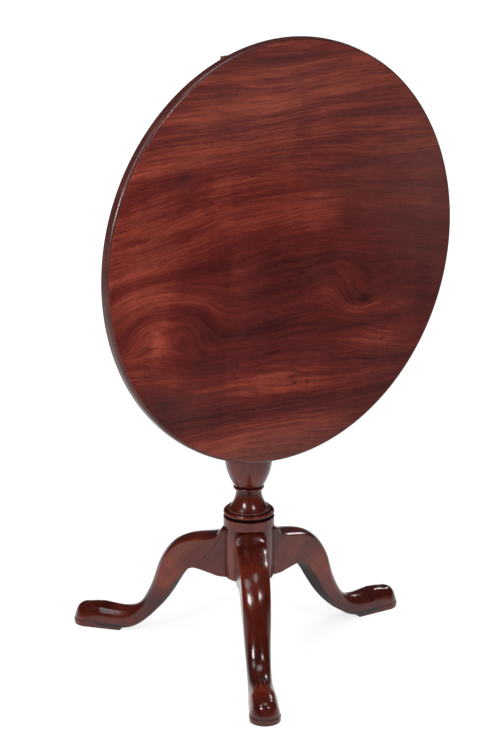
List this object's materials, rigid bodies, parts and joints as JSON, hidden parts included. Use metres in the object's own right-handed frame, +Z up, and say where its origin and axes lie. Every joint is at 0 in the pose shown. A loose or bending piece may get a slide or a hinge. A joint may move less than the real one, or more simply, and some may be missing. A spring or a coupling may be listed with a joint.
{
  "type": "tripod table",
  "caption": "Round tilt-top table on a turned pillar with cabriole legs, dovetailed in; the top tips upright on two pins and a spring catch holds it flat.",
  "frame": {"origin": "on the floor, on the axis of the turned pillar", "axes": "+Z up along the pillar; X along the pivot of the top; the top stands upright with its polished face towards -Y"},
  "size_m": [0.732, 0.5888, 1.118],
  "materials": {
    "top_wood": "gloss",
    "pillar_wood": "gloss",
    "under_wood": "matte",
    "brass": "satin",
    "iron": "matte",
    "spring_steel": "satin"
  },
  "bodies": {
    "stand": {"pillar": "pillar_wood", "leg_right": "pillar_wood", "leg_left": "pillar_wood", "leg_front": "pillar_wood", "leg_strap": "iron", "strap_screws": "iron", "top_block": "under_wood", "tenon_wedge": "under_wood", "catch_keeper": "brass", "keeper_screws": "brass"},
    "top": {"table_top": "top_wood", "bearer_left": "under_wood", "bearer_right": "under_wood", "bearer_screws": "iron", "catch_plate": "brass", "catch_case": "brass", "catch_spring": "spring_steel", "catch_screws": "brass"},
    "bolt": {"catch_bolt": "brass", "catch_knob": "brass"}
  },
  "joints": [
    {"name": "top_tilt", "type": "hinge", "parent": "stand", "child": "top", "pos_m": [0, -0.076, 0.676], "axis": [1, 0, 0], "range_deg": [-90, 0]},
    {"name": "catch_slide", "type": "slide", "parent": "top", "child": "bolt", "axis": [0, 0, 1], "range_m": [0, 0.006], "stiffness_N_per_m": 200, "springref_m": -0.008, "deforming": ["catch_spring"]}
  ]
}
